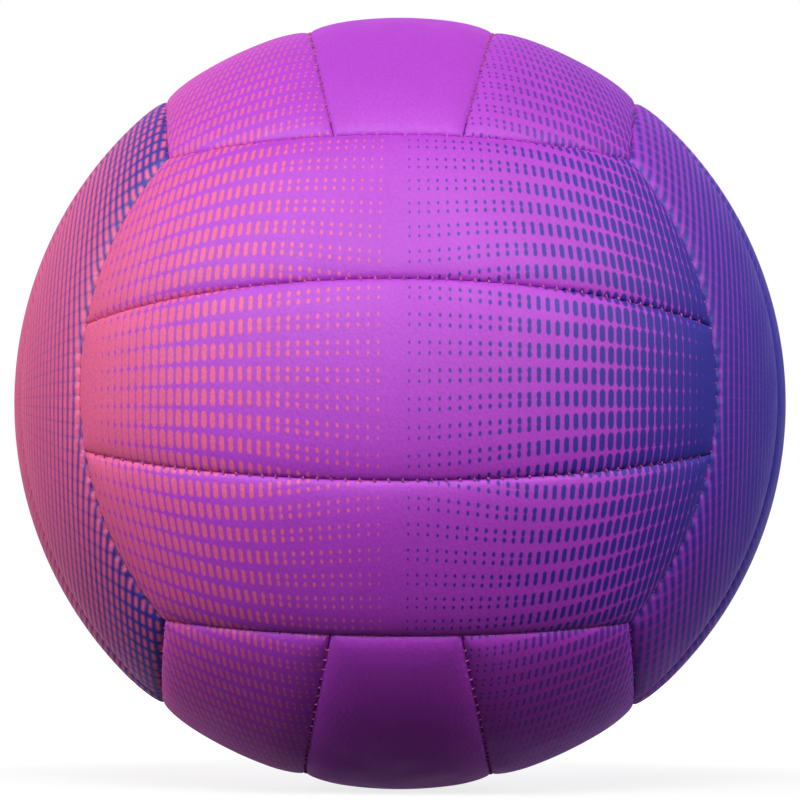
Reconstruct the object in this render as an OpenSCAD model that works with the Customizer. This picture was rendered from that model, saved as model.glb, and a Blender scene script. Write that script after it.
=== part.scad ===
// Stitched indoor volleyball: eighteen padded cover panels in six faces of three,
// sewn edge to edge round an air bladder with a needle valve.
// The origin is the centre of the ball, +Z is up and the front face looks along -Y.
// All lengths are in millimetres and all angles in degrees.

/* [Ball] */
// Diameter over the crowns of the panels
ball_d = 210; // [170:1:255]

/* [Panel layout] */
// Half the angle that a middle panel spans at the centre of its face
middle_half_angle = 14; // [11.5:0.5:17]
// Lean of the two seams beside a middle panel, which narrows it towards its ends
middle_lean = 13; // [9:0.5:16]
// Lean of the seams round a face, which bows its long edges outwards
face_lean = 9.4; // [7:0.2:11.4]

/* [Cover] */
// Thickness of the cover leather
cover_t = 1.2; // [0.8:0.1:1.6]
// Distance from a seam at which a panel starts to fall away from its crown
shoulder_w = 11; // [8:0.5:14]
// How far the panel has fallen where its edge turns in
shoulder_drop = 0.7; // [0.3:0.1:1]
// Width of the edge that turns in to the seam
turn_w = 3; // [2:0.25:4]
// Depth of the seam below the crown
seam_depth = 1.9; // [1.3:0.1:2.4]
// Gap between the turned-in edges of two panels
seam_gap = 0.2; // [0.1:0.05:0.4]

/* [Padding] */
// Thickness of the foam behind each cover panel
foam_t = 3; // [2.25:0.25:5]
// Glue line between two bonded layers
glue_line = 0.15; // [0.1:0.05:0.3]

/* [Thread] */
// Diameter of the sewing thread
thread_d = 0.8; // [0.5:0.1:1]
// Clearance between the thread and the two edges that it lies on
thread_clearance = 0.1; // [0.05:0.05:0.2]
// Distance that a thread stops short of the seam that it runs into
thread_short = 1.2; // [0.8:0.1:1.6]

/* [Bladder] */
// Wall thickness of the rubber bladder
bladder_t = 0.8; // [0.6:0.1:1.5]

/* [Valve] */
// Diameter of the valve stem in the cover
stem_d = 7; // [6:0.5:9]
// Depth of the valve's outer face below the crown of its panel
stem_recess = 0.4; // [0.2:0.1:0.6]
// How far the stem reaches into the ball from the crown of its panel
stem_l = 21; // [17:0.5:26]
// Diameter of the flange that bonds the valve to the bladder
flange_d = 16; // [13:0.5:20]
// Thickness of the flange
flange_t = 1; // [0.6:0.1:1.5]
// Diameter of the patch that stiffens the bladder round the valve
patch_d = 30; // [24:1:40]
// Thickness of the patch
patch_t = 1; // [0.6:0.1:1.5]
// Diameter of the rubber core that grips the needle
core_d = 4; // [3.4:0.1:4.8]
// Wall left at the inner end of the stem
stem_end_t = 1.5; // [1:0.1:2.5]
// Clearance round the stem and the core
fit_clearance = 0.05; // [0.02:0.01:0.1]
// Diameter of an inflating needle
needle_d = 2; // [1.6:0.1:2.4]
// Clearance round the needle in the core
needle_clearance = 0.1; // [0.06:0.01:0.15]
// Depth of the needle hole in the core
needle_depth = 10; // [8:0.5:13]

/* [Hidden] */
$fn = 96;

// Radii of the layers, from the crown of the cover inwards
crown_r = ball_d / 2;
foam_outer_r = crown_r - cover_t - glue_line;
foam_inner_r = foam_outer_r - foam_t;
bladder_r = foam_inner_r - glue_line;
bladder_inner_r = bladder_r - bladder_t;
patch_r = bladder_inner_r - glue_line;
flange_r = patch_r - patch_t - glue_line;

// Depth of the way for the core in the valve housing
core_way_l = stem_l - stem_recess - stem_end_t;

// A seam is a circle at a latitude about an axis that leans back from its face.
// Three face seams meet at each corner of the cube that the faces make.
middle_latitude = middle_half_angle - middle_lean;
face_latitude = asin((cos(face_lean) - sin(face_lean)) / sqrt(3));

// Half the angle that a seam spans about its own axis: a face seam ends in two corners of the
// cube, and a middle seam ends in the face seams that cross its two ends.
face_span = asin(1 / sqrt(3) / cos(face_latitude));
crossing = [cos(face_lean) * cos(middle_lean), -sin(face_lean)];
crossing_level = (sin(face_latitude) + sin(middle_latitude) * cos(face_lean) * sin(middle_lean))
    / cos(middle_latitude);
middle_span = acos(crossing_level / norm(crossing)) + atan2(crossing[1], crossing[0]);

// Three circles of a panel's edge, as radius and angle from the seam: its crown, its turn, its seam
edge_crown = [crown_r, arc_angle(shoulder_w)];
edge_turn = [crown_r - shoulder_drop, arc_angle(turn_w)];
edge_seam = [crown_r - seam_depth, 0];

// Size of a cutting body that reaches past the whole ball, and of a cut past a face
reach = ball_d;
over_cut = 2;

// Each face: its name, the turn that carries the front face there, the panels on the plus and the
// minus side of its stack, and the seams along those two sides
FACES = [
    ["front", [0, 0, 0], ["upper", "lower"], ["top_front_seam", "bottom_front_seam"]],
    ["back", [0, 0, 180], ["upper", "lower"], ["top_back_seam", "bottom_back_seam"]],
    ["top", [-90, 0, -90], ["right", "left"], ["top_right_seam", "top_left_seam"]],
    ["bottom", [90, 0, 90], ["right", "left"], ["bottom_right_seam", "bottom_left_seam"]],
    ["right", [-90, 90, 0], ["back", "front"], ["right_back_seam", "right_front_seam"]],
    ["left", [-90, 90, 180], ["front", "back"], ["left_front_seam", "left_back_seam"]]
];
FRONT = 0;
BACK = 1;
TOP = 2;
BOTTOM = 3;
RIGHT = 4;
LEFT = 5;

violet = "#b646d6";
pink = "#ec6f93";
navy = "#2f2a96";
foam_white = "#efe9dc";
thread_red = "#d8507a";
butyl_black = "#26262a";
valve_grey = "#3c3c42";

function panel_names(end) = [
    for (face = FACES)
        each [str(face[0], "_middle_", end), for (side = face[2]) str(face[0], "_", side, "_", end)]
];
function seam_names() = [
    for (face = FACES)
        each [str(face[0], "_middle_seams"), each face[3]]
];

// Angle of an arc along the crown, seen from the ball's centre
function arc_angle(length) = length / crown_r * 180 / PI;

// Sphere on a seam's axis that passes through two circles of a panel's edge:
// how far its centre lies along the axis, and its radius
function slope_sphere(latitude, outer, inner) =
    let (
        outer_height = outer[0] * sin(latitude + outer[1]),
        inner_height = inner[0] * sin(latitude + inner[1]),
        along = (outer[0] ^ 2 - inner[0] ^ 2) / 2 / (outer_height - inner_height)
    )
    [along, norm([outer[0] * cos(latitude + outer[1]), outer_height - along])];

// Place of a thread in a seam's profile, as distance from the seam's axis and height along it:
// it lies on the turned-in edges of the panels past the seam and short of it
function thread_place(latitude) =
    let (
        past = slope_sphere(latitude, edge_turn, edge_seam),
        short = slope_sphere(-latitude, edge_turn, edge_seam),
        stand_off = thread_d / 2 + thread_clearance,
        past_r = past[1] + stand_off,
        short_r = short[1] + stand_off,
        height = (short_r ^ 2 - past_r ^ 2 + past[0] ^ 2 - short[0] ^ 2) / 2 / (past[0] + short[0])
    )
    [sqrt(past_r ^ 2 - (height - past[0]) ^ 2), height];

// Turns +Z to the axis of a seam on the plus side of the front face
module seam_axis(lean) {
    rotate([-lean, 0, 0]) children();
}

// Turns +Z to the axis of the seam at the right-hand end of the front face
module end_axis() {
    rotate([90, -90, 0]) seam_axis(face_lean) children();
}

// Everything past a seam, seen along its axis, drawn in from the seam and from the crown:
// a plane for the turned-in edge, and two spheres that fall from the crown to the seam
module past_seam(latitude, inset, drop) {
    intersection() {
        translate([-reach, -reach, edge_seam[0] * sin(latitude) + inset]) cube(2 * reach);
        edge_slope(latitude, edge_crown, edge_turn, drop);
        edge_slope(latitude, edge_turn, edge_seam, drop);
    }
}
module edge_slope(latitude, outer, inner, drop) {
    slope = slope_sphere(latitude, outer, inner);
    translate([0, 0, slope[0]]) sphere(slope[1] - drop);
}

// Everything short of a seam, seen along its axis
module short_of_seam(latitude, inset, drop) {
    mirror([0, 0, 1]) past_seam(-latitude, inset, drop);
}

// The front face's panel in the middle of its stack, before its ends and its floor are cut
module middle_strip(inset, drop) {
    intersection() {
        sphere(crown_r - drop);
        seam_axis(middle_lean) short_of_seam(middle_latitude, inset, drop);
        mirror([0, 0, 1]) seam_axis(middle_lean) short_of_seam(middle_latitude, inset, drop);
    }
}

// The front face's panel on the plus side of its stack, before its ends and its floor are cut
module outer_strip(inset, drop) {
    intersection() {
        sphere(crown_r - drop);
        seam_axis(middle_lean) past_seam(middle_latitude, inset, drop);
        seam_axis(face_lean) short_of_seam(face_latitude, inset, drop);
    }
}

// The space of a panel of the front face, drawn in from its seams and from its crown
module panel_space(is_middle, inset, drop, floor_r) {
    difference() {
        intersection() {
            if (is_middle)
                middle_strip(inset, drop);
            else
                outer_strip(inset, drop);
            end_axis() past_seam(face_latitude, inset, drop);
            mirror([1, 0, 0]) end_axis() past_seam(face_latitude, inset, drop);
        }
        sphere(floor_r);
    }
}

// Carries a piece of the front face to its own face, and to the minus side of its stack
module place_on(face, side) {
    rotate(FACES[face][1]) mirror([0, 0, side < 0 ? 1 : 0]) children();
}

// Cover panel: leather over the crown, turned in along its edges.
// Side 0 is the middle of the face's stack, 1 its plus side and -1 its minus side.
module cover(face, side, tint) {
    color(tint)
        place_on(face, side)
            difference() {
                panel_space(side == 0, seam_gap / 2, 0, foam_inner_r);
                panel_space(side == 0, seam_gap / 2 + cover_t, cover_t, foam_inner_r - over_cut);
            }
}

// Foam pad that fills a cover panel
module foam(face, side) {
    bonded = cover_t + glue_line;
    color(foam_white)
        place_on(face, side) panel_space(side == 0, seam_gap / 2 + bonded, bonded, foam_inner_r);
}

// Sewing thread along one seam, laid in the bottom of its groove
module thread(latitude, span) {
    half = span - arc_angle(thread_short) / cos(latitude);
    color(thread_red)
        rotate_extrude(angle = 2 * half, start = -90 - half)
            translate(thread_place(latitude)) circle(thread_d / 2);
}

// The two threads beside a middle panel
module middle_threads(face) {
    for (side = [1, -1])
        place_on(face, side) seam_axis(middle_lean) thread(middle_latitude, middle_span);
}

// The thread along one long side of a face
module face_thread(face, side) {
    place_on(face, side) seam_axis(face_lean) thread(face_latitude, face_span);
}

// Turns a piece drawn along +Z to the valve's place, at the centre of the back face
module at_valve() {
    rotate([-90, 0, 0]) children();
}

// Way for the valve stem through the layers of the ball
module valve_way() {
    at_valve() cylinder(h = reach, d = stem_d + 2 * fit_clearance);
}

// Disc round the valve that follows the inside of the ball at a radius
module bonded_disc(outer_r, thickness, diameter) {
    intersection() {
        difference() {
            sphere(outer_r);
            sphere(outer_r - thickness);
        }
        cylinder(h = reach, d = diameter);
    }
}

// Cover and foam of the back middle panel, with the way for the valve stem
module valve_panel_cover() {
    difference() {
        cover(BACK, 0, violet);
        valve_way();
    }
}
module valve_panel_foam() {
    difference() {
        foam(BACK, 0);
        valve_way();
    }
}

// Hollow rubber bladder that holds the air
module bladder() {
    color(butyl_black)
        difference() {
            sphere(bladder_r);
            sphere(bladder_inner_r);
            valve_way();
        }
}

// Patch that stiffens the bladder round the valve
module valve_patch() {
    color(butyl_black)
        difference() {
            at_valve() bonded_disc(patch_r, patch_t, patch_d);
            valve_way();
        }
}

// Valve housing: a rubber stem with the flange that bonds it to the bladder
module valve_housing() {
    color(valve_grey)
        at_valve()
            difference() {
                union() {
                    translate([0, 0, crown_r - stem_l]) cylinder(h = stem_l - stem_recess, d = stem_d);
                    bonded_disc(flange_r, flange_t, flange_d);
                }
                translate([0, 0, crown_r - stem_recess - core_way_l])
                    cylinder(h = core_way_l + over_cut, d = core_d + 2 * fit_clearance);
            }
}

// Valve core: the plug that grips the needle and seals behind it
module valve_core() {
    core_l = core_way_l - fit_clearance;
    color(valve_grey)
        at_valve()
            translate([0, 0, crown_r - stem_recess - core_l])
                difference() {
                    cylinder(h = core_l, d = core_d);
                    translate([0, 0, core_l - needle_depth])
                        cylinder(h = needle_depth + over_cut, d = needle_d + 2 * needle_clearance);
                }
}

cover(FRONT, 0, violet);  // front_middle_cover
cover(FRONT, 1, violet);  // front_upper_cover
cover(FRONT, -1, violet);  // front_lower_cover
valve_panel_cover();  // back_middle_cover
cover(BACK, 1, violet);  // back_upper_cover
cover(BACK, -1, violet);  // back_lower_cover
cover(TOP, 0, violet);  // top_middle_cover
cover(TOP, 1, violet);  // top_right_cover
cover(TOP, -1, pink);  // top_left_cover
cover(BOTTOM, 0, violet);  // bottom_middle_cover
cover(BOTTOM, 1, violet);  // bottom_right_cover
cover(BOTTOM, -1, pink);  // bottom_left_cover
cover(RIGHT, 0, navy);  // right_middle_cover
cover(RIGHT, 1, navy);  // right_back_cover
cover(RIGHT, -1, navy);  // right_front_cover
cover(LEFT, 0, pink);  // left_middle_cover
cover(LEFT, 1, pink);  // left_front_cover
cover(LEFT, -1, pink);  // left_back_cover

foam(FRONT, 0);  // front_middle_foam
foam(FRONT, 1);  // front_upper_foam
foam(FRONT, -1);  // front_lower_foam
valve_panel_foam();  // back_middle_foam
foam(BACK, 1);  // back_upper_foam
foam(BACK, -1);  // back_lower_foam
foam(TOP, 0);  // top_middle_foam
foam(TOP, 1);  // top_right_foam
foam(TOP, -1);  // top_left_foam
foam(BOTTOM, 0);  // bottom_middle_foam
foam(BOTTOM, 1);  // bottom_right_foam
foam(BOTTOM, -1);  // bottom_left_foam
foam(RIGHT, 0);  // right_middle_foam
foam(RIGHT, 1);  // right_back_foam
foam(RIGHT, -1);  // right_front_foam
foam(LEFT, 0);  // left_middle_foam
foam(LEFT, 1);  // left_front_foam
foam(LEFT, -1);  // left_back_foam

middle_threads(FRONT);  // front_middle_seams
middle_threads(BACK);  // back_middle_seams
middle_threads(TOP);  // top_middle_seams
middle_threads(BOTTOM);  // bottom_middle_seams
middle_threads(RIGHT);  // right_middle_seams
middle_threads(LEFT);  // left_middle_seams
face_thread(FRONT, 1);  // top_front_seam
face_thread(FRONT, -1);  // bottom_front_seam
face_thread(BACK, 1);  // top_back_seam
face_thread(BACK, -1);  // bottom_back_seam
face_thread(TOP, 1);  // top_right_seam
face_thread(TOP, -1);  // top_left_seam
face_thread(BOTTOM, 1);  // bottom_right_seam
face_thread(BOTTOM, -1);  // bottom_left_seam
face_thread(RIGHT, 1);  // right_back_seam
face_thread(RIGHT, -1);  // right_front_seam
face_thread(LEFT, 1);  // left_front_seam
face_thread(LEFT, -1);  // left_back_seam

bladder();
valve_patch();
valve_housing();
valve_core();
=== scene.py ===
# %% [markdown]
# A stitched volleyball: eighteen padded leather panels in six faces of three, sewn edge to edge
# round an air bladder. The imported model is the fixed frame. It says where every piece is, in metres,
# with the centre of the ball at the origin.

# %% Load the frame
from math import acos, asin, atan2, cos, hypot, pi, radians, sin, sqrt, tan

import bmesh
import bpy
import numpy as np
from mathutils import Matrix, Vector


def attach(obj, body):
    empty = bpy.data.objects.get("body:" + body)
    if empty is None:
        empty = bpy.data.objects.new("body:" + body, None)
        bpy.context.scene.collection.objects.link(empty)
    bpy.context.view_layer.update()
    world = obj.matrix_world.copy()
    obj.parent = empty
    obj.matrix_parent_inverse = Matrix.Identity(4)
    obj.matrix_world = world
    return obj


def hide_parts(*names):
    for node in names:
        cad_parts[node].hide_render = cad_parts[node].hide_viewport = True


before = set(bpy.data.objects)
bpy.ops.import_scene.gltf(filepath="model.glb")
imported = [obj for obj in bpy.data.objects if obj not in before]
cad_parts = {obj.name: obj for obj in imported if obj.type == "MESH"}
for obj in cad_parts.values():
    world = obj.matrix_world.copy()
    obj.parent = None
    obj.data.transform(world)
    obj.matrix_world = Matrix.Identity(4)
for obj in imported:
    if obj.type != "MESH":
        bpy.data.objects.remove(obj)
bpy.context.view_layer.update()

MM = 0.001
bpy.context.scene.view_settings.view_transform = "Standard"

# %% [markdown]
# The camera comes first, because it settles how much detail shows. It stands about a metre away with
# a long lens, a little below the middle of the ball. A long lens keeps the ball round. The axes are
# written as directions, which is steadier than three angles.

# %% Camera
camera_data = bpy.data.cameras.new("camera")
camera_data.lens = 170
camera_data.sensor_width = 36
camera_data.shift_y = 0.0043
camera_data.clip_start = 0.01
camera = bpy.data.objects.new("camera", camera_data)
bpy.context.scene.collection.objects.link(camera)

eye = Vector((0.00959, -1.03170, -0.06131))
to_right = Vector((0.99995, 0.00904, 0.00438))
to_top = Vector((-0.00384, -0.05936, 0.99823))
to_back = to_right.cross(to_top)
turn = Matrix((to_right, to_top, to_back)).transposed().to_4x4()
camera.matrix_world = Matrix.Translation(eye) @ turn
bpy.context.scene.camera = camera
print("camera", round(eye.length, 3), "m from the middle of the ball")

# %% [markdown]
# Every seam of the ball is a circle: the cut of a plane through the sphere. Two planes lean in beside
# the middle panel of a face and two more run along its long sides, so four leans and levels lay out
# the whole ball. Each face is named by three directions: out of the face, up its stack of panels, and
# along the panels.

# %% Seam layout
BALL_R = 105.0
MIDDLE_LEAN = radians(13)
MIDDLE_LATITUDE = radians(1)
FACE_LEAN = radians(9.4)
FACE_LATITUDE = asin((cos(FACE_LEAN) - sin(FACE_LEAN)) / sqrt(3))
MIDDLE_PULL = 0.26
FACE_PULL = 0.50

FACES = {
    "front": ((0, -1, 0), (0, 0, 1), (1, 0, 0), ("upper", "lower")),
    "back": ((0, 1, 0), (0, 0, 1), (-1, 0, 0), ("upper", "lower")),
    "top": ((0, 0, 1), (1, 0, 0), (0, -1, 0), ("right", "left")),
    "bottom": ((0, 0, -1), (1, 0, 0), (0, 1, 0), ("right", "left")),
    "right": ((1, 0, 0), (0, 1, 0), (0, 0, -1), ("back", "front")),
    "left": ((-1, 0, 0), (0, -1, 0), (0, 0, -1), ("front", "back")),
}
PANELS = {}
for face_name, (_, _, _, (plus, minus)) in FACES.items():
    for side_name, side in (("middle", 0), (plus, 1), (minus, -1)):
        PANELS[f"{face_name}_{side_name}"] = (face_name, side)
print(len(PANELS), "panels, face seams at latitude", round(FACE_LATITUDE * 180 / pi, 2))


# %% A seam as a plane
class Seam:
    """A circle on the ball, and how hard its thread pulls on the leather, in millimetres."""

    def __init__(self, outward, stack, run, lean, latitude, pull):
        self.axis = cos(lean) * stack - sin(lean) * outward
        self.middle = sin(lean) * stack + cos(lean) * outward
        self.run = run
        self.latitude = latitude
        self.pull = pull

    def past(self, points):
        """How far points lie past the seam, in millimetres along the ball."""
        return (np.arcsin(np.clip(points @ self.axis, -1, 1)) - self.latitude) * BALL_R

    def along(self, points):
        """How far along the seam points lie, from its middle."""
        turned = np.arctan2(points @ self.run, points @ self.middle)
        return turned * BALL_R * cos(self.latitude)


def face_axes(face_name):
    return [np.array(axis, float) for axis in FACES[face_name][:3]]


def middle_seam(face_name, side):
    outward, stack, run = face_axes(face_name)
    return Seam(outward, side * stack, run, MIDDLE_LEAN, MIDDLE_LATITUDE, MIDDLE_PULL)


def long_seam(face_name, side):
    outward, stack, run = face_axes(face_name)
    return Seam(outward, side * stack, run, FACE_LEAN, FACE_LATITUDE, FACE_PULL)


def end_seam(face_name, end):
    outward, stack, run = face_axes(face_name)
    return Seam(end * run, outward, stack, FACE_LEAN, FACE_LATITUDE, FACE_PULL)


def panel_edges(face_name, side):
    """The four seams round a panel, each with the sign of the side on which the panel lies."""
    edges = [(end_seam(face_name, 1), 1), (end_seam(face_name, -1), 1)]
    if side == 0:
        edges += [(middle_seam(face_name, 1), -1), (middle_seam(face_name, -1), -1)]
    else:
        edges += [(middle_seam(face_name, side), 1), (long_seam(face_name, side), -1)]
    return edges


print("each panel has", len(panel_edges("front", 0)), "edges")

# %% [markdown]
# A panel is laid out as a grid of rows. Each row is cut by a plane between those of its two long
# seams, and it ends where the face ends. This follows the real panel, whose leather is cut to the
# same curved outline. An inset draws the grid in from all four seams, for the layers below.


# %% Grid of a panel on the unit ball
def row_planes(side, across, inset):
    """Level and slope of the plane behind each row, from the low side of the stack to the high."""
    shift = inset / BALL_R
    slope_in, slope_out = tan(MIDDLE_LEAN), tan(FACE_LEAN)
    if side == 0:
        level = sin(MIDDLE_LATITUDE - shift) / cos(MIDDLE_LEAN)
        return (2 * across - 1) * level, (2 * across - 1) * slope_in
    level_in = sin(MIDDLE_LATITUDE + shift) / cos(MIDDLE_LEAN)
    level_out = sin(FACE_LATITUDE - shift) / cos(FACE_LEAN)
    part = across if side > 0 else 1 - across
    level = level_in + (level_out - level_in) * part
    slope = slope_in + (slope_out - slope_in) * part
    return side * level, side * slope


def panel_grid(face_name, side, lengthwise, across, inset):
    """Points on the unit ball, as an array of lengthwise by across by three."""
    outward, stack, run = face_axes(face_name)
    level, slope = row_planes(side, across, inset)
    lean = np.arctan(slope)
    height = level * np.cos(lean)
    ring = np.sqrt(1 - height**2)
    near = cos(FACE_LEAN) * np.cos(lean)
    end_level = (sin(FACE_LATITUDE + inset / BALL_R) + height * cos(FACE_LEAN) * np.sin(lean)) / ring
    reach = np.hypot(near, sin(FACE_LEAN))
    span = np.arccos(end_level / reach) + np.arctan2(-sin(FACE_LEAN), near)
    angle = (2 * lengthwise[:, None] - 1) * span[None, :]
    axis = np.cos(lean)[:, None] * stack - np.sin(lean)[:, None] * outward
    middle = np.sin(lean)[:, None] * stack + np.cos(lean)[:, None] * outward
    flat = np.cos(angle)[..., None] * middle[None] + np.sin(angle)[..., None] * run
    return height[None, :, None] * axis[None] + ring[None, :, None] * flat


EDGE_STEPS = [0, 0.12, 0.28, 0.5, 0.8, 1.2, 1.7, 2.3]
PANEL_L = 190.0
PANEL_W = {0: 51.0, 1: 44.0, -1: 44.0}
STEP_L = 0.9
STEP_W = 1.2


def spaced(length, step, edge_steps=EDGE_STEPS):
    """Places from 0 to 1 along a length, close together near both ends."""
    rest = length - 2 * edge_steps[-1]
    inner = np.linspace(edge_steps[-1], length - edge_steps[-1], round(rest / step) + 1)
    ends = np.array(edge_steps[:-1])
    return np.concatenate([ends, inner, length - ends[::-1]]) / length


print("grid of a middle panel:", len(spaced(PANEL_L, STEP_L)), "by", len(spaced(PANEL_W[0], STEP_W)))

# %% [markdown]
# A pan is the shape of a turned-in panel: a crowned top, a wall down into the seam, a lip, and an
# inside that follows at the leather's thickness. One helper closes such a shape from its two grids.
# It also lays out a map, so that the top, which shows, gets most of the room when colours are baked.

# %% Closed shell from two grids
MAP_MARGIN = 0.005
MAP_SPAN = 0.99
MAP_TOP = (0.40, 0.995)
MAP_INSIDE = (0.005, 0.27)
MAP_RING = (0.385, 0.365)
MAP_RING_STEP = 0.03
SMOOTH_ANGLE = radians(50)


def grid_faces(nu, nv, first, flip):
    index = first + np.arange(nu * nv).reshape(nu, nv)
    corners = [index[:-1, :-1], index[1:, :-1], index[1:, 1:], index[:-1, 1:]]
    faces = np.stack(corners, -1).reshape(-1, 4)
    return faces[:, ::-1] if flip else faces


def rim_of(nu, nv):
    """Grid places round the edge, in one loop."""
    low = [(i, 0) for i in range(nu)]
    far = [(nu - 1, j) for j in range(1, nv)]
    high = [(i, nv - 1) for i in range(nu - 2, -1, -1)]
    near = [(0, j) for j in range(nv - 2, 0, -1)]
    return np.array(low + far + high + near)


def grid_map(lengthwise, across, low, high, flip):
    u = np.broadcast_to(MAP_MARGIN + MAP_SPAN * lengthwise[:, None], (len(lengthwise), len(across)))
    v = np.broadcast_to(low + (high - low) * across[None, :], u.shape)
    places = np.stack([u, v], -1).reshape(-1, 2)
    return places[grid_faces(len(lengthwise), len(across), 0, flip)]


def shell_piece(name, top, rings, inside, lengthwise, across):
    """A closed mesh: a top grid, rings that lead down from its rim, and an inside grid."""
    nu, nv = top.shape[:2]
    rim = rim_of(nu, nv)
    count = len(rim)
    flat_rim = rim[:, 0] * nv + rim[:, 1]
    points = [top.reshape(-1, 3)] + list(rings) + [inside.reshape(-1, 3)]
    starts = np.cumsum([0] + [len(p) for p in points])
    loops = [flat_rim]
    loops += [starts[1 + k] + np.arange(count) for k in range(len(rings))]
    loops += [starts[-2] + flat_rim]
    faces = [grid_faces(nu, nv, 0, False)]
    maps = [grid_map(lengthwise, across, *MAP_TOP, False)]
    step = np.arange(count + 1) / count
    for k, (upper, lower) in enumerate(zip(loops[:-1], loops[1:])):
        ahead = [np.roll(upper, -1), np.roll(lower, -1)]
        faces.append(np.stack([upper, lower, ahead[1], ahead[0]], -1))
        v = [edge - MAP_RING_STEP * k for edge in MAP_RING]
        strip = [(step[:-1], v[0]), (step[:-1], v[1]), (step[1:], v[1]), (step[1:], v[0])]
        maps.append(np.stack([np.stack([u, np.full(count, w)], -1) for u, w in strip], 1))
    faces.append(grid_faces(nu, nv, starts[-2], True))
    maps.append(grid_map(lengthwise, across, *MAP_INSIDE, True))
    return mesh_piece(name, np.concatenate(points), np.concatenate(faces), np.concatenate(maps))


def mesh_piece(name, points, faces, places=None):
    """A smooth mesh object from points in millimetres."""
    mesh = bpy.data.meshes.new(name)
    face_lists = faces.tolist() if isinstance(faces, np.ndarray) else faces
    mesh.from_pydata((points * MM).tolist(), [], face_lists)
    if places is not None:
        layer = mesh.uv_layers.new(name="OFBake")
        layer.data.foreach_set("uv", places.astype(np.float32).ravel())
    mesh.shade_smooth()
    mesh.set_sharp_from_angle(angle=SMOOTH_ANGLE)
    piece = bpy.data.objects.new(name, mesh)
    bpy.context.scene.collection.objects.link(piece)
    return piece


print("rim of a 5 by 4 grid has", len(rim_of(5, 4)), "points")

# %% [markdown]
# The leather. Foam pushes each panel out to the ball's full radius, and the seams pull its edges in:
# first a long shoulder, then a short one, then a tight roll where the leather turns into the seam.
# Every stitch pulls a little pucker. These are real shapes that catch the light, so they are modelled
# and not painted. The falls of all four edges are joined smoothly, which rounds the corners.

# %% Shape of a panel's edge
STITCH_PITCH = 3.6
LEATHER_T = 1.2
SEAM_HALF_GAP = 0.1
FOAM_INNER_R = 100.65
LONG_FALL = 0.85
LONG_REACH = 11.0
SHORT_FALL = 0.30
SHORT_REACH = 4.0
ROLL_W = 1.3
ROLL_H = 0.8
PUCKER_REACH = 1.7


def shoulder(distance):
    long_fall = LONG_FALL * np.clip(1 - distance / LONG_REACH, 0, 1) ** 2
    short_fall = SHORT_FALL * np.clip(1 - distance / SHORT_REACH, 0, 1) ** 2
    return long_fall + short_fall


def edge_roll(distance, width, depth):
    inside = np.clip(1 - distance / width, 0, 1)
    return depth * (1 - np.sqrt(1 - inside**2))


def pucker(distance, along):
    """The dent at each stitch, from 0 to 1. Some stitches are looser than others."""
    pull = 0.5 + 0.5 * np.cos(2 * pi * (along / STITCH_PITCH - 0.5))
    loose = 0.7 + 0.3 * np.sin(along * 0.41 + 1.3) * np.sin(along * 0.173)
    return loose * pull * np.exp(-((distance / PUCKER_REACH) ** 2))


def joined(falls, power=4.0):
    return np.sum([fall**power for fall in falls], axis=0) ** (1 / power)


def leather_top(points, edges):
    falls = []
    for seam, sign in edges:
        distance = np.maximum(sign * seam.past(points), 0)
        rolled = shoulder(distance) + edge_roll(distance, ROLL_W, ROLL_H)
        falls.append(rolled + seam.pull * pucker(distance, seam.along(points)))
    return points * (BALL_R - joined(falls))[..., None]


def leather_inside(points, edges):
    falls = [shoulder(np.maximum(sign * seam.past(points), 0)) for seam, sign in edges]
    return points * (BALL_R - LEATHER_T - joined(falls))[..., None]


sample_falls = [round(float(shoulder(d) + edge_roll(d, ROLL_W, ROLL_H)), 2) for d in (0.1, 3, 8)]
print("fall of an edge at 0.1, 3 and 8 mm:", sample_falls)


# %% Cut and form the eighteen leather panels
def leather_panel(panel):
    face_name, side = PANELS[panel]
    edges = panel_edges(face_name, side)
    lengthwise, across = spaced(PANEL_L, STEP_L), spaced(PANEL_W[side], STEP_W)
    outer = panel_grid(face_name, side, lengthwise, across, SEAM_HALF_GAP)
    inner = panel_grid(face_name, side, lengthwise, across, SEAM_HALF_GAP + LEATHER_T)
    rim = rim_of(len(lengthwise), len(across))
    lip_out = outer[rim[:, 0], rim[:, 1]] * FOAM_INNER_R
    lip_in = inner[rim[:, 0], rim[:, 1]] * FOAM_INNER_R
    top = leather_top(outer, edges)
    inside = leather_inside(inner, edges)
    return shell_piece(f"{panel}_leather", top, [lip_out, lip_in], inside, lengthwise, across)


leathers = {panel: leather_panel(panel) for panel in PANELS}
print(len(leathers), "leather panels,", sum(len(p.data.vertices) for p in leathers.values()), "points")

# %% [markdown]
# Behind each leather lies its foam pad, about three millimetres thick. It is cut a glue line smaller
# than the leather's inside and its upper edge is rounded off. Nobody sees it on a finished ball, but a
# part that is taken apart should have it, so it is a plain closed pad with fewer points.

# %% Foam pads
GLUE_LINE = 0.15
PAD_EDGE_STEPS = [0, 0.15, 0.4, 0.8, 1.4, 2.4]
PAD_STEP_L = 4.0
PAD_STEP_W = 3.0
PAD_ROLL_W = 0.9
PAD_ROLL_H = 0.5


def foam_pad(panel):
    face_name, side = PANELS[panel]
    edges = panel_edges(face_name, side)
    inset = SEAM_HALF_GAP + LEATHER_T + GLUE_LINE
    lengthwise = spaced(PANEL_L, PAD_STEP_L, PAD_EDGE_STEPS)
    across = spaced(PANEL_W[side], PAD_STEP_W, PAD_EDGE_STEPS)
    points = panel_grid(face_name, side, lengthwise, across, inset)
    falls = []
    for seam, sign in edges:
        distance = np.maximum(sign * seam.past(points), 0)
        falls.append(shoulder(distance) + edge_roll(distance - inset, PAD_ROLL_W, PAD_ROLL_H))
    top = points * (BALL_R - LEATHER_T - GLUE_LINE - joined(falls))[..., None]
    return shell_piece(f"{panel}_pad", top, [], points * FOAM_INNER_R, lengthwise, across)


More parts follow.
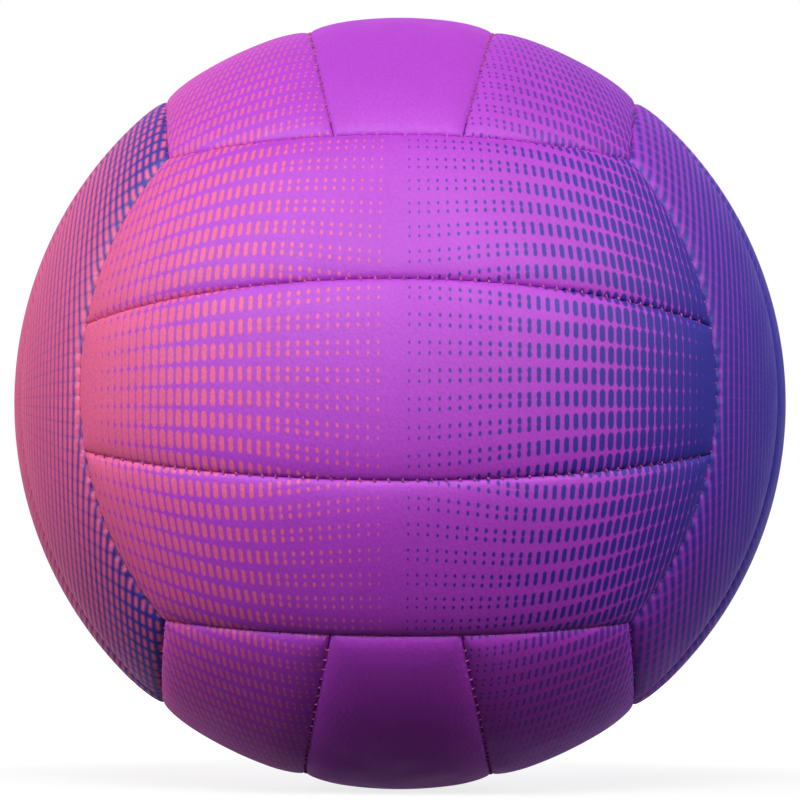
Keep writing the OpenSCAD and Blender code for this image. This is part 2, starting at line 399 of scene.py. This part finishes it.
pads = {panel: foam_pad(panel) for panel in PANELS}
print(len(pads), "foam pads,", sum(len(p.data.vertices) for p in pads.values()), "points")

# %% [markdown]
# One panel and its pad have a punched hole for the valve, in the middle of the back face. A boolean
# cut is the digital punch. The tool is a many-sided rod, turned a little so that none of its corners
# falls on a grid line, which would leave slivers. It is thrown away after the cut.

# %% Punch the valve hole
STEM_WAY_R = 3.55
ROUND_SIDES = 72
PUNCH_L = 0.06
PUNCH_TURN = radians(1.7)


def punch(piece):
    rod = bmesh.new()
    radius = STEM_WAY_R * MM
    bmesh.ops.create_cone(
        rod, cap_ends=True, segments=ROUND_SIDES, radius1=radius, radius2=radius, depth=PUNCH_L
    )
    tool_mesh = bpy.data.meshes.new("punch")
    rod.to_mesh(tool_mesh)
    rod.free()
    tool = bpy.data.objects.new("punch", tool_mesh)
    aim = Matrix.Rotation(pi / 2, 4, "X") @ Matrix.Rotation(PUNCH_TURN, 4, "Z")
    tool.matrix_world = Matrix.Translation((0, BALL_R * MM, 0)) @ aim
    bpy.context.scene.collection.objects.link(tool)
    cut = piece.modifiers.new("punch", "BOOLEAN")
    cut.operation = "DIFFERENCE"
    cut.solver = "EXACT"
    cut.object = tool
    bpy.context.view_layer.objects.active = piece
    bpy.ops.object.modifier_apply(modifier=cut.name)
    bpy.data.objects.remove(tool)
    bpy.data.meshes.remove(tool_mesh)
    piece.data.set_sharp_from_angle(angle=SMOOTH_ANGLE)
    return len(piece.data.vertices)


print("after the punch:", punch(leathers["back_middle"]), "and", punch(pads["back_middle"]), "points")

# %% [markdown]
# The sewing. Panels are sewn face to face and turned out, so what shows is a short bar of thread
# across the bottom of the groove at every stitch, with dark seam between. Each bar is two plies
# twisted together: a tube whose section has two lobes that turn along its length. Both ends dive
# into the leather. Between the bars the thread dips down into the seam, so a thin run joins the row.
# No two stitches are quite alike, so each one shifts a little by a fixed rule.

# %% One stitch
STITCH_R = 0.27
STITCH_HALF_W = 0.75
STITCH_RINGS = 9
STITCH_SIDES = 10
STITCH_DEPTH = 0.84
DEPTH_PER_PULL = 1.7
STITCH_DIVE = 0.5
STITCH_SLANT = 0.22
THREAD_TWIST = 2.4
SEAM_END = 1.6


def tube_faces(rings, sides):
    """Faces of a closed tube whose points come ring by ring."""
    faces = []
    for k in range(rings - 1):
        here, there = k * sides, (k + 1) * sides
        for m in range(sides):
            ahead = (m + 1) % sides
            faces.append([here + m, here + ahead, there + ahead, there + m])
    last = (rings - 1) * sides
    faces.append(list(range(sides))[::-1])
    faces.append(list(range(last, last + sides)))
    return faces


def stitch_depth(seam):
    """How far below the ball's full radius the stitches lie."""
    return STITCH_DEPTH + DEPTH_PER_PULL * seam.pull


def stitch(seam, angle, number):
    """Points and faces of one bar of thread across a seam."""
    ring = cos(angle) * seam.middle + sin(angle) * seam.run
    radial = sin(seam.latitude) * seam.axis + cos(seam.latitude) * ring
    sideways = cos(seam.latitude) * seam.axis - sin(seam.latitude) * ring
    along = np.cross(sideways, radial)
    wobble = sin(number * 12.9898) * 0.5 + sin(number * 4.1414) * 0.5
    points = []
    for k in range(STITCH_RINGS):
        t = 2 * k / (STITCH_RINGS - 1) - 1
        depth = stitch_depth(seam) + STITCH_DIVE * abs(t) ** 3 + 0.08 * wobble
        lean = (STITCH_SLANT + 0.1 * wobble) * t
        centre = radial * (BALL_R - depth) + sideways * STITCH_HALF_W * t - along * lean
        for m in range(STITCH_SIDES):
            turned = 2 * pi * m / STITCH_SIDES
            thick = STITCH_R * (0.82 + 0.18 * cos(2 * (turned - THREAD_TWIST * t - number)))
            points.append(centre + thick * (cos(turned) * radial + sin(turned) * along))
    return points, tube_faces(STITCH_RINGS, STITCH_SIDES)


def stitch_angles(seam, half_span):
    """Where the stitches lie: half a pitch from the middle of the seam, and on to both ends."""
    ring_r = BALL_R * cos(seam.latitude)
    count = int((half_span * ring_r - SEAM_END) / STITCH_PITCH + 0.5)
    return [(k + 0.5) * STITCH_PITCH / ring_r for k in range(-count, count)]


print("one stitch has", STITCH_RINGS * STITCH_SIDES, "points")

# %% The run of thread between stitches
RUN_R = 0.1
RUN_SIDES = 6
RUN_STEPS = 8
RUN_DEPTH = 0.2
RUN_DIP = 0.5


def thread_run(seam, half_span):
    """Points and faces of the thin run: up to each bar, and down into the seam between two bars."""
    angles = stitch_angles(seam, half_span)
    steps = np.linspace(angles[0], angles[-1], (len(angles) - 1) * RUN_STEPS + 1)[:, None]
    ring = np.cos(steps) * seam.middle + np.sin(steps) * seam.run
    ahead = np.cos(steps) * seam.run - np.sin(steps) * seam.middle
    radial = sin(seam.latitude) * seam.axis + cos(seam.latitude) * ring
    sideways = np.cross(ahead, radial)
    pitches = steps * BALL_R * cos(seam.latitude) / STITCH_PITCH - 0.5
    depth = stitch_depth(seam) + RUN_DEPTH + RUN_DIP * (1 - np.cos(2 * pi * pitches))
    sides = []
    for m in range(RUN_SIDES):
        turned = 2 * pi * m / RUN_SIDES
        sides.append(radial * (BALL_R - depth + RUN_R * cos(turned)) + sideways * RUN_R * sin(turned))
    points = np.stack(sides, 1).reshape(-1, 3)
    return list(points), tube_faces(len(steps), RUN_SIDES)


print("the run takes", RUN_STEPS, "steps from stitch to stitch")

# %% Sew the seams
FACE_SPAN = asin(1 / sqrt(3) / cos(FACE_LATITUDE))
crossing = (cos(FACE_LEAN) * cos(MIDDLE_LEAN), -sin(FACE_LEAN))
crossing_level = sin(FACE_LATITUDE) + sin(MIDDLE_LATITUDE) * cos(FACE_LEAN) * sin(MIDDLE_LEAN)
crossing_level /= cos(MIDDLE_LATITUDE)
MIDDLE_SPAN = acos(crossing_level / hypot(*crossing)) + atan2(crossing[1], crossing[0])


def sew(name, seams, half_span):
    points, faces = [], []
    for seam in seams:
        angles = stitch_angles(seam, half_span)
        strands = [stitch(seam, angle, number) for number, angle in enumerate(angles)]
        strands.append(thread_run(seam, half_span))
        for more_points, more_faces in strands:
            faces += [[len(points) + i for i in face] for face in more_faces]
            points += more_points
    return mesh_piece(name, np.array(points), faces)


LONG_SEAMS = {
    "front": ("top_front", "bottom_front"),
    "back": ("top_back", "bottom_back"),
    "top": ("top_right", "top_left"),
    "bottom": ("bottom_right", "bottom_left"),
    "right": ("right_back", "right_front"),
    "left": ("left_front", "left_back"),
}
stitches = {}
for face_name, (plus, minus) in LONG_SEAMS.items():
    beside = [middle_seam(face_name, 1), middle_seam(face_name, -1)]
    stitches[f"{face_name}_middle_seams"] = sew(f"{face_name}_middle_stitches", beside, MIDDLE_SPAN)
    for seam_name, side in ((plus, 1), (minus, -1)):
        row = sew(f"{seam_name}_stitches", [long_seam(face_name, side)], FACE_SPAN)
        stitches[f"{seam_name}_seam"] = row
print(len(stitches), "rows of stitches,", sum(len(p.data.polygons) for p in stitches.values()), "faces")

# %% [markdown]
# The valve is two moulded rubber pieces: a stem with a flange, and the plug inside it that takes the
# needle. Both are round, so their profiles are turned about the valve's axis. The mouths have the
# small rounded lips that a mould leaves, which plain cylinders would lack.


# %% Turn the valve pieces
def turned_piece(name, profile, sides=ROUND_SIDES):
    """A closed profile of radius and height, turned about the valve's axis (+Y)."""
    points = []
    for radius, height in profile:
        for m in range(sides):
            angle = 2 * pi * m / sides
            points.append((radius * sin(angle), height, radius * cos(angle)))
    return mesh_piece(name, np.array(points), tube_faces(len(profile), sides))


STEM_PROFILE = [
    (0.4, 84.0), (3.2, 84.0), (3.42, 84.08), (3.5, 84.3), (3.5, 97.2), (3.7, 97.3), (7.5, 97.1),
    (7.9, 97.25), (8.0, 97.55), (7.9, 97.9), (7.5, 98.08), (3.75, 98.3), (3.5, 98.45), (3.5, 104.1),
    (3.44, 104.36), (3.25, 104.53), (3.0, 104.6), (2.75, 104.58), (2.4, 104.42), (2.15, 104.3),
    (2.05, 104.1), (2.05, 85.5), (0.4, 85.5),
]
PLUG_PROFILE = [
    (0.3, 85.56), (1.8, 85.56), (2.0, 85.8), (2.0, 104.15), (1.94, 104.33), (1.8, 104.44),
    (1.6, 104.46), (1.4, 104.38), (1.2, 104.15), (1.1, 103.8), (1.1, 94.8), (0.9, 94.6), (0.3, 94.6),
]
stem = turned_piece("valve_stem", STEM_PROFILE)
plug = turned_piece("valve_plug", PLUG_PROFILE)
print("valve:", len(stem.data.polygons) + len(plug.data.polygons), "faces")

# %% [markdown]
# The bladder is a hollow ball of thin rubber, moulded in two halves. A low ridge runs round it where
# the halves of the mould met, and a hole at one pole lets the valve through. It is round about the
# valve's axis too, so it is turned in the same way: up the outside, and back down the inside.

# %% Turn the bladder
BLADDER_R = 100.5
BLADDER_T = 0.8
MOULD_RIDGE_H = 0.1
MOULD_RIDGE_W = 1.0
BLADDER_SIDES = 144
POLE_ANGLE = 0.004
RIDGE_SPAN = 0.026
HALF_END = 0.035


def bladder_profile():
    inner_r = BLADDER_R - BLADDER_T
    end = pi - asin(STEM_WAY_R / BLADDER_R)
    inner_end = pi - asin(STEM_WAY_R / inner_r)
    first_half = np.linspace(POLE_ANGLE, pi / 2 - HALF_END, 80)
    near_ridge = pi / 2 + np.linspace(-RIDGE_SPAN, RIDGE_SPAN, 13)
    second_half = np.linspace(pi / 2 + HALF_END, end, 80)
    outside = []
    for angle in np.concatenate([first_half, near_ridge, second_half]):
        off = (angle - pi / 2) * BLADDER_R / MOULD_RIDGE_W
        radius = BLADDER_R + MOULD_RIDGE_H * np.exp(-off * off)
        outside.append((radius * sin(angle), -radius * cos(angle)))
    inner_angles = np.linspace(inner_end, POLE_ANGLE, 90)
    inside = [(inner_r * sin(angle), -inner_r * cos(angle)) for angle in inner_angles]
    return outside + inside


bladder = turned_piece("air_bladder", bladder_profile(), BLADDER_SIDES)
print("bladder:", len(bladder.data.polygons), "faces")

# %% [markdown]
# Now the finishes. A few small helpers wire shader nodes, so that each recipe reads as a sum. Places
# are taken from the object's own coordinates, which are the ball's, in metres. A pattern then stays on
# the leather however the ball is seen or lit.


# %% Helpers for finishes
def linear(red, green, blue):
    """A colour as it is picked on a screen, from 0 to 255, made linear."""
    parts = [c / 255 for c in (red, green, blue)]
    return tuple(c / 12.92 if c < 0.04045 else ((c + 0.055) / 1.055) ** 2.4 for c in parts) + (1.0,)


def new_finish(name):
    finish = bpy.data.materials.new(name)
    finish.use_nodes = True
    tree = finish.node_tree
    return finish, tree, tree.nodes["Principled BSDF"]


def feed(tree, socket, value):
    if isinstance(value, bpy.types.NodeSocket):
        tree.links.new(value, socket)
    else:
        socket.default_value = value


def calc(tree, operation, *values):
    node = tree.nodes.new("ShaderNodeMath")
    node.operation = operation
    for socket, value in zip(node.inputs, values):
        feed(tree, socket, value)
    return node.outputs[0]


def hypotenuse(tree, a, b):
    """The long side of a right-angled triangle."""
    squares = calc(tree, "ADD", calc(tree, "MULTIPLY", a, a), calc(tree, "MULTIPLY", b, b))
    return calc(tree, "SQRT", squares)


def between(tree, value, low, high, to_low, to_high, smooth=False):
    """A value taken from one range to another."""
    node = tree.nodes.new("ShaderNodeMapRange")
    node.interpolation_type = "SMOOTHSTEP" if smooth else "LINEAR"
    for socket, number in zip(node.inputs, (value, low, high, to_low, to_high)):
        feed(tree, socket, number)
    return node.outputs[0]


def tinted(tree, share, first, second, way="MIX"):
    node = tree.nodes.new("ShaderNodeMix")
    node.data_type = "RGBA"
    node.blend_type = way
    for index, value in ((0, share), (6, first), (7, second)):
        feed(tree, node.inputs[index], value)
    return node.outputs[2]


def ball_place(tree):
    return tree.nodes.new("ShaderNodeTexCoord").outputs["Object"]


def mottle(tree, place, scale, detail=2.0, roughness=0.5):
    node = tree.nodes.new("ShaderNodeTexNoise")
    feed(tree, node.inputs["Vector"], place)
    node.inputs["Scale"].default_value = scale
    node.inputs["Detail"].default_value = detail
    node.inputs["Roughness"].default_value = roughness
    return node.outputs["Fac"]


def pebbles(tree, place, scale):
    node = tree.nodes.new("ShaderNodeTexVoronoi")
    node.feature = "SMOOTH_F1"
    feed(tree, node.inputs["Vector"], place)
    node.inputs["Scale"].default_value = scale
    return node.outputs["Distance"]


def raised(tree, shader, height, strength, distance):
    node = tree.nodes.new("ShaderNodeBump")
    node.inputs["Strength"].default_value = strength
    node.inputs["Distance"].default_value = distance
    feed(tree, node.inputs["Height"], height)
    tree.links.new(node.outputs["Normal"], shader.inputs["Normal"])


VIOLET = linear(184, 58, 210)
DEEP_VIOLET = linear(166, 54, 205)
PINK = linear(237, 99, 148)
NAVY = linear(38, 34, 144)
print("colours: two violets, pink and navy on the leather")

# %% [markdown]
# The print is a halftone, a common way to fade one ink into another: dots in columns and rows that
# grow until they close up. Here the dots come in pairs that grow into dashes. Latitude about the
# ball's left-right axis counts the columns, and the turn about that axis counts the rows. The distance
# to the nearest pair of dots is then compared with a dot size that grows with latitude. Drawing it by
# distance gives clean ink edges at any size, which a picture would not.

# %% Sizes of the print, in degrees or in widths of a dot
COLUMN_PITCH = 1.376
COLUMN_W = 2.52
ROW_W = 6.4
ROW_BELL = 272
DOT_APART = 1.2
FIRST_COLUMN = 1.045
RIGHT_SHIFT = 0.69
SMALL_DOT = 0.225
DOT_GROWTH = 0.019
DASH_FROM = 22.0
CLOSING_FROM = 44.0
CLOSING_GROWTH = 0.025
DOT_STRETCH = 1.45
INK_EDGE = 0.19
STRIPE_EDGE = 0.6
QUARTER_SPOKES = 27
print("columns of dots every", COLUMN_PITCH, "degrees")


# %% Where a point lies in the print
def print_grid(tree):
    """Latitude about the left-right axis, and the turn about it from the front or back, in degrees."""
    place = tree.nodes.new("ShaderNodeSeparateXYZ")
    tree.links.new(ball_place(tree), place.inputs[0])
    x, y, z = place.outputs
    depth = calc(tree, "ABSOLUTE", y)
    ring = hypotenuse(tree, y, z)
    latitude = calc(tree, "MULTIPLY", calc(tree, "ARCTAN2", x, ring), 180 / pi)
    return latitude, calc(tree, "MULTIPLY", calc(tree, "ARCTAN2", z, depth), 180 / pi)


def row_pitch(tree, latitude, plain, spread):
    """Angle from row to row, which opens out towards the middle of the ball."""
    squared = calc(tree, "MULTIPLY", latitude, latitude)
    bell = calc(tree, "EXPONENT", calc(tree, "MULTIPLY", squared, -1 / ROW_BELL))
    return calc(tree, "ADD", calc(tree, "MULTIPLY", bell, spread), plain)


def from_middle(tree, count):
    """From -0.5 to 0.5 across the nearest column or row."""
    return calc(tree, "SUBTRACT", calc(tree, "FRACT", calc(tree, "ADD", count, 0.5)), 0.5)


# %% Distance to the nearest pair of dots
def dot_distance(tree, columns, rows, stretch, waist):
    """Distance to a dot, stretched along the row; without a waist the pair is one round-ended dash."""
    x = calc(tree, "MULTIPLY", from_middle(tree, columns), COLUMN_W)
    y = calc(tree, "MULTIPLY", calc(tree, "ABSOLUTE", from_middle(tree, rows)), ROW_W)
    off = calc(tree, "SUBTRACT", y, DOT_APART)
    off = calc(tree, "MAXIMUM", off, calc(tree, "MULTIPLY", off, waist))
    off = calc(tree, "DIVIDE", off, stretch)
    return hypotenuse(tree, x, off)


def ramp(tree, value, start, rate):
    """Grows at a rate past a start."""
    return calc(tree, "MULTIPLY", calc(tree, "MAXIMUM", calc(tree, "SUBTRACT", value, start), 0), rate)


def ink_share(tree, distance, size, soft):
    """1 inside a dot and 0 outside, with the ragged soft edge and thin spots of ink on grained leather."""
    ragged = mottle(tree, ball_place(tree), 2600.0, 1.0)
    ragged = calc(tree, "MULTIPLY", calc(tree, "SUBTRACT", ragged, 0.5), 0.24)
    edge = calc(tree, "ADD", distance, ragged)
    share = between(tree, calc(tree, "SUBTRACT", size, edge), -soft, soft, 0.0, 1.0, smooth=True)
    thin = between(tree, mottle(tree, ball_place(tree), 1900.0, 2.0), 0.32, 0.62, 0.975, 1.0)
    return calc(tree, "MULTIPLY", share, thin)


# %% [markdown]
# All the printed panels share those parts. On the front, back, top and bottom, pink dots grow to the
# left and navy dots to the right over violet. The left face is navy under a pink print that closes
# towards its middle, and the right face is a deeper violet under navy. There the dots run together
# into soft stripes. The middle panels of the top and bottom are plain violet.


# %% Printed colours
def fading_print(tree, row_rule, growth, cover=1.0):
    """Pink dots that grow to the left and navy dots that grow to the right, on violet."""
    latitude, turn_angle = print_grid(tree)
    on_right = calc(tree, "GREATER_THAN", latitude, 0.0)
    away = calc(tree, "ABSOLUTE", latitude)
    rows, squeeze = row_rule(tree, latitude, turn_angle)
    start = calc(tree, "ADD", calc(tree, "MULTIPLY", on_right, RIGHT_SHIFT), FIRST_COLUMN)
    columns = calc(tree, "SUBTRACT", calc(tree, "DIVIDE", away, squeeze), start)
    columns = calc(tree, "DIVIDE", columns, COLUMN_PITCH)
    size = calc(tree, "ADD", ramp(tree, away, 0.0, DOT_GROWTH), SMALL_DOT)
    size = calc(tree, "ADD", size, ramp(tree, away, DASH_FROM, growth))
    size = calc(tree, "ADD", size, ramp(tree, away, CLOSING_FROM, CLOSING_GROWTH))
    longer = calc(tree, "ADD", calc(tree, "MULTIPLY", on_right, 0.015), 0.030)
    stretch = calc(tree, "ADD", ramp(tree, away, DASH_FROM, longer), DOT_STRETCH)
    waist = between(tree, away, 13.0, 24.0, 1.0, 0.0)
    dots = ink_share(tree, dot_distance(tree, columns, rows, stretch, waist), size, INK_EDGE)
    # Navy starts at its first column, and pink one column later.
    printed = calc(tree, "GREATER_THAN", calc(tree, "ADD", columns, on_right), 0.5)
    dots = calc(tree, "MULTIPLY", dots, calc(tree, "MULTIPLY", printed, cover))
    ink = tinted(tree, on_right, PINK, NAVY)
    return tinted(tree, dots, VIOLET, ink)


def outer_rows(tree, latitude, turn_angle):
    """Upper and lower panels: rows fan about a line past the long side, columns draw in towards it."""
    up = calc(tree, "ABSOLUTE", turn_angle)
    pitch = row_pitch(tree, latitude, 3.27, 0.42)
    from_fan = calc(tree, "SUBTRACT", up, 47.6)
    rows = calc(tree, "ADD", calc(tree, "DIVIDE", from_fan, pitch), 0.32)
    from_seam = calc(tree, "SUBTRACT", up, 14.0)
    squeeze = calc(tree, "SUBTRACT", 1.0, calc(tree, "MULTIPLY", from_seam, 0.0048))
    return rows, squeeze


def middle_rows(tree, latitude, turn_angle):
    """Middle panels: rows fan about a line a little above their middle."""
    pitch = row_pitch(tree, latitude, 3.4, 0.45)
    from_fan = calc(tree, "SUBTRACT", turn_angle, 5.7)
    rows = calc(tree, "ADD", calc(tree, "DIVIDE", from_fan, pitch), 0.4)
    return rows, 1.0


def crown_rows(tree, latitude, turn_angle):
    """Top and bottom panels: a finer screen, whose columns draw in towards the crown."""
    up = calc(tree, "ABSOLUTE", turn_angle)
    from_top = calc(tree, "SUBTRACT", 90.0, up)
    bowed = hypotenuse(tree, from_top, 8.0)
    squeeze = calc(tree, "ADD", calc(tree, "MULTIPLY", bowed, 0.0045), 0.595)
    return calc(tree, "DIVIDE", from_top, 3.05), squeeze


def polar_print(tree, ground, ink, pitch, first_size, growth, spoke_gap, first_stretch):
    """Rings and spokes about the pole of the left or right face, closing up towards the pole."""
    latitude, turn_angle = print_grid(tree)
    away = calc(tree, "ABSOLUTE", latitude)
    columns = calc(tree, "DIVIDE", away, pitch)
    rows = calc(tree, "DIVIDE", turn_angle, 90 / QUARTER_SPOKES)
    size = calc(tree, "ADD", ramp(tree, away, 34.0, growth), first_size)
    stretch = calc(tree, "ADD", ramp(tree, away, 40.0, 0.14), first_stretch)
    dots = ink_share(tree, dot_distance(tree, columns, rows, stretch, 0.0), size, STRIPE_EDGE)
    spoke = calc(tree, "ABSOLUTE", from_middle(tree, rows))
    spoke_ink = between(tree, spoke, 0.36, 0.5, 1.0, 1.0 - spoke_gap, smooth=True)
    dots = calc(tree, "MINIMUM", dots, spoke_ink)
    return tinted(tree, dots, ground, ink)


# %% Leather finish
def leather_finish(name, colour_rule):
    """Matte synthetic leather: printed colour, fine pebble grain, slightly uneven sheen."""
    finish, tree, shader = new_finish(name)
    place = ball_place(tree)
    colour = colour_rule(tree)
    broad_tone = between(tree, mottle(tree, place, 28.0, 3.0), 0.3, 0.7, 0.93, 1.0)
    fine_tone = between(tree, mottle(tree, place, 1500.0, 2.0), 0.3, 0.7, 0.89, 1.06)
    tone = calc(tree, "MULTIPLY", broad_tone, fine_tone)
    tree.links.new(tinted(tree, 1.0, colour, tone, "MULTIPLY"), shader.inputs["Base Color"])
    rough = between(tree, mottle(tree, place, 90.0, 3.0), 0.3, 0.7, 0.56, 0.66)
    tree.links.new(rough, shader.inputs["Roughness"])
    specks = calc(tree, "MULTIPLY", mottle(tree, place, 3200.0), 0.5)
    grain = calc(tree, "ADD", pebbles(tree, place, 1150.0), specks)
    raised(tree, shader, grain, 0.40, 0.0002)
    shader.inputs["Specular IOR Level"].default_value = 0.08
    return finish


def pink_stripes(tree):
    return polar_print(
        tree, NAVY, PINK, pitch=1.25, first_size=0.48, growth=0.021, spoke_gap=0.28, first_stretch=1.75
    )


def navy_stripes(tree):
    return polar_print(
        tree, DEEP_VIOLET, NAVY, pitch=COLUMN_PITCH, first_size=0.54, growth=0.025, spoke_gap=0.06,
        first_stretch=2.6,
    )


finishes = {
    "outer": leather_finish("leather_fading_outer", lambda tree: fading_print(tree, outer_rows, 0.004)),
    "middle": leather_finish("leather_fading_middle", lambda tree: fading_print(tree, middle_rows, 0.008)),
    "crown": leather_finish("leather_fading_crown", lambda tree: fading_print(tree, crown_rows, 0.0, 0.8)),
    "left": leather_finish("leather_pink_on_navy", pink_stripes),
    "right": leather_finish("leather_navy_on_violet", navy_stripes),
    "plain": leather_finish("leather_plain_violet", lambda tree: VIOLET),
}
print(len(finishes), "leather finishes")

# %% [markdown]
# The other finishes are simpler. Thread is waxed and a little shiny, with fine plies. Foam is pale and
# full of tiny cells, with painted shade in their pits. Rubber is nearly black, dusty with talc inside the
# ball and cleaner at the valve.


# %% Thread, foam and rubber finishes
def thread_finish():
    finish, tree, shader = new_finish("waxed_thread")
    place = ball_place(tree)
    worn = between(tree, mottle(tree, place, 420.0, 2.0), 0.35, 0.65, 0.0, 1.0)
    colour = tinted(tree, worn, linear(150, 44, 128), linear(178, 70, 158))
    tree.links.new(colour, shader.inputs["Base Color"])
    tree.links.new(between(tree, worn, 0.0, 1.0, 0.62, 0.48), shader.inputs["Roughness"])
    raised(tree, shader, mottle(tree, place, 5200.0, 2.0), 0.35, 0.0001)
    shader.inputs["Specular IOR Level"].default_value = 0.12
    return finish


def foam_finish():
    finish, tree, shader = new_finish("cell_foam")
    place = ball_place(tree)
    cells = pebbles(tree, place, 1400.0)
    # Painted shade: the foam is coloured darker in its cell pits and paler on the raised cell walls.
    pit_shade_mix = between(tree, cells, 0.1, 0.6, 0.0, 1.0)
    colour = tinted(tree, pit_shade_mix, linear(206, 198, 182), linear(238, 232, 220))
    tree.links.new(colour, shader.inputs["Base Color"])
    tree.links.new(between(tree, cells, 0.1, 0.6, 0.95, 0.82), shader.inputs["Roughness"])
    raised(tree, shader, cells, 0.5, 0.0003)
    return finish


def rubber_finish(name, clean, dusty, dust):
    finish, tree, shader = new_finish(name)
    place = ball_place(tree)
    spots = between(tree, mottle(tree, place, 60.0, 4.0), 0.55, 0.8, 0.0, dust)
    tree.links.new(tinted(tree, spots, clean, dusty), shader.inputs["Base Color"])
    rough = between(tree, mottle(tree, place, 300.0), 0.3, 0.7, 0.48, 0.66)
    tree.links.new(rough, shader.inputs["Roughness"])
    raised(tree, shader, mottle(tree, place, 1800.0, 3.0), 0.2, 0.0002)
    return finish


thread = thread_finish()
foam = foam_finish()
bladder_rubber = rubber_finish("bladder_rubber", linear(34, 34, 37), linear(120, 118, 114), 0.7)
valve_rubber = rubber_finish("valve_rubber", linear(52, 52, 57), linear(96, 96, 98), 0.35)
print("thread, foam and two rubbers")

# %% [markdown]
# Each new piece takes the place of one imported node: it rides on the ball's one body, hides that node,
# and takes its finish. The valve's patch keeps its imported shape, which is right, and only gets a
# better finish.


# %% Dress the ball
def dress(piece, node, finish):
    piece.data.materials.clear()
    piece.data.materials.append(finish)
    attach(piece, "root")
    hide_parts(node)


def finish_key(face_name, side):
    if face_name in ("left", "right"):
        return face_name
    if face_name in ("top", "bottom"):
        return "crown" if side else "plain"
    return "outer" if side else "middle"


for panel, (face_name, side) in PANELS.items():
    dress(leathers[panel], f"{panel}_cover", finishes[finish_key(face_name, side)])
    dress(pads[panel], f"{panel}_foam", foam)
for node, row in stitches.items():
    dress(row, node, thread)
dress(stem, "valve_housing", valve_rubber)
dress(plug, "valve_core", valve_rubber)
dress(bladder, "bladder", bladder_rubber)
for material_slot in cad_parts["valve_patch"].material_slots:
    material_slot.material = bladder_rubber
print("dressed", 2 * len(PANELS) + len(stitches) + 3, "pieces and the patch")

# %% [markdown]
# A pale floor and a white room, as in a product studio. The floor looks white to the camera and still
# takes the ball's shadow. It gives little light back, so that the underside of the ball stays dark.


# %% Floor
def seen_directly(tree):
    """1 for what is seen straight, in gloss or through glass, and 0 for light that falls on things."""
    path = tree.nodes.new("ShaderNodeLightPath")
    seen = calc(tree, "MAXIMUM", path.outputs["Is Camera Ray"], path.outputs["Is Glossy Ray"])
    return calc(tree, "MAXIMUM", seen, path.outputs["Is Transmission Ray"])


def floor_finish():
    """Pale grey that glows just enough to look white, and fully white away from the ball."""
    finish, tree, shader = new_finish("pale_floor")
    seen = seen_directly(tree)
    tree.links.new(between(tree, seen, 0.0, 1.0, 0.05, 0.30), shader.inputs["Base Color"])
    shader.inputs["Roughness"].default_value = 0.9
    shader.inputs["Specular IOR Level"].default_value = 0.0
    shader.inputs["Emission Color"].default_value = (1, 1, 1, 1)
    reach = tree.nodes.new("ShaderNodeVectorMath")
    reach.operation = "LENGTH"
    tree.links.new(ball_place(tree), reach.inputs[0])
    glow = between(tree, reach.outputs["Value"], 0.15, 0.45, 0.80, 1.0, smooth=True)
    tree.links.new(calc(tree, "MULTIPLY", seen, glow), shader.inputs["Emission Strength"])
    return finish


FLOOR_HALF = 6.0
ground = -BALL_R * MM
floor_mesh = bpy.data.meshes.new("floor")
corners = [(x * FLOOR_HALF, y * FLOOR_HALF, ground) for x, y in ((-1, -1), (1, -1), (1, 1), (-1, 1))]
floor_mesh.from_pydata(corners, [], [(0, 1, 2, 3)])
floor = bpy.data.objects.new("floor", floor_mesh)
floor_mesh.materials.append(floor_finish())
bpy.context.scene.collection.objects.link(floor)
print("floor at", ground, "m")

# %% [markdown]
# The lamps are large soft discs. The key stands in front and above, and a fill on each side rounds the
# ball off. Three more are seen only in the sheen, where they give the leather its broad soft highlight
# without more light on the colours. A fill behind is for views of the back. The room itself is white
# to the eye and in reflections, and lends the shade only a weak even light.

# %% Room and lamps
AMBIENT = 0.08
world = bpy.data.worlds.new("room")
bpy.context.scene.world = world
world.use_nodes = True
room = world.node_tree
background = room.nodes["Background"]
background.inputs["Color"].default_value = (1, 1, 1, 1)
room_light = between(room, seen_directly(room), 0.0, 1.0, AMBIENT, 1.0)
room.links.new(room_light, background.inputs["Strength"])


def soft_lamp(name, place, size, power):
    """A round lamp aimed at the ball, with its width in metres and its power in watts."""
    data = bpy.data.lights.new(name, "AREA")
    data.shape = "DISK"
    data.size = size
    data.energy = power
    lamp = bpy.data.objects.new(name, data)
    place = Vector(place)
    aim = place.to_track_quat("Z", "Y").to_matrix().to_4x4()
    lamp.matrix_world = Matrix.Translation(place) @ aim
    bpy.context.scene.collection.objects.link(lamp)
    return lamp


lamps = [
    soft_lamp("key", (0.0, -1.68, 1.08), 1.1, 26.0),
    soft_lamp("left_fill", (-1.72, -0.80, 0.62), 0.8, 16.0),
    soft_lamp("right_fill", (1.72, -0.80, 0.62), 0.8, 11.0),
]
sheen_lamps = [
    soft_lamp("sheen", (0.0, -1.62, 1.17), 2.2, 140.0),
    soft_lamp("left_sheen", (-1.16, -1.22, 1.08), 2.2, 310.0),
    soft_lamp("right_sheen", (1.08, -1.22, 1.16), 2.2, 195.0),
]
for lamp in sheen_lamps:
    lamp.visible_diffuse = False
back_fill = soft_lamp("back_fill", (0.0, 1.98, 0.30), 0.9, 20.0)
back_fill.visible_glossy = False
print("lamps:", [(lamp.name, lamp.data.energy) for lamp in lamps + sheen_lamps + [back_fill]])
